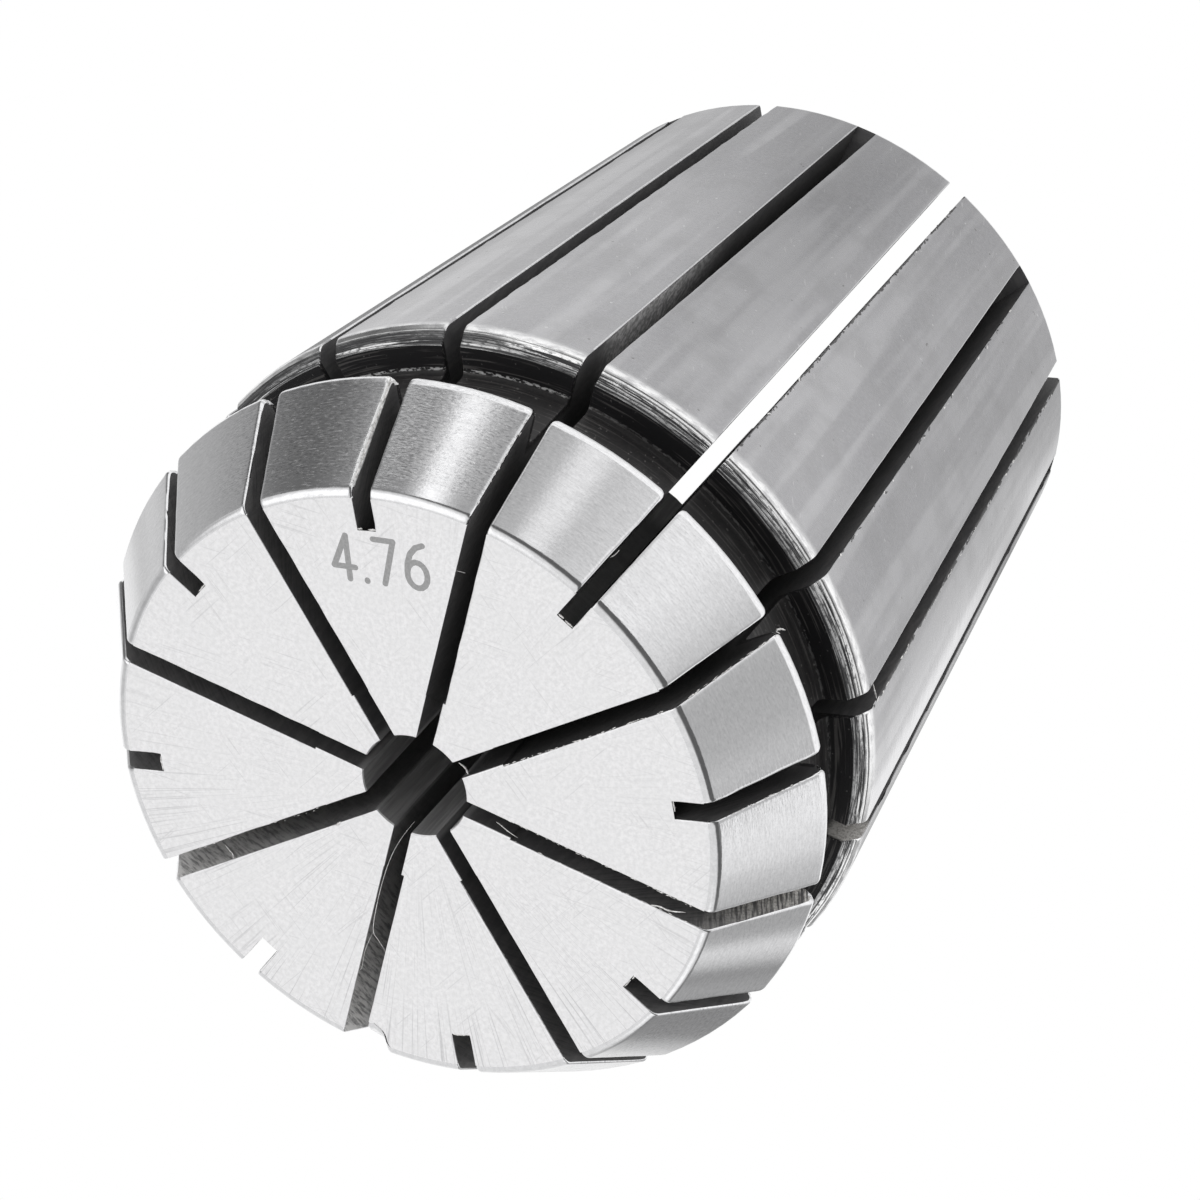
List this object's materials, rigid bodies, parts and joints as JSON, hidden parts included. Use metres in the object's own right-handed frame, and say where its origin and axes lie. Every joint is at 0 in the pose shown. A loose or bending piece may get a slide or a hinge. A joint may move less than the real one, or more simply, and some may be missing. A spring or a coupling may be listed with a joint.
{
  "type": "er collet",
  "caption": "Spring collet with a long tapered body, a nose cone, an extraction groove and slits from both ends that let its bore close on a tool shank.",
  "frame": {"origin": "on the axis, in the plane of the small rear end that it stands on", "axes": "+Z along the axis, from the rear end up to the nose; +X along one of the slits that are cut from the front"},
  "size_m": [0.0336, 0.0336, 0.04],
  "materials": {
    "steel": "hardened spring steel, finely ground taper and nose, blackened slits and groove"
  },
  "bodies": {
    "root": {"collet": "steel"}
  },
  "joints": []
}
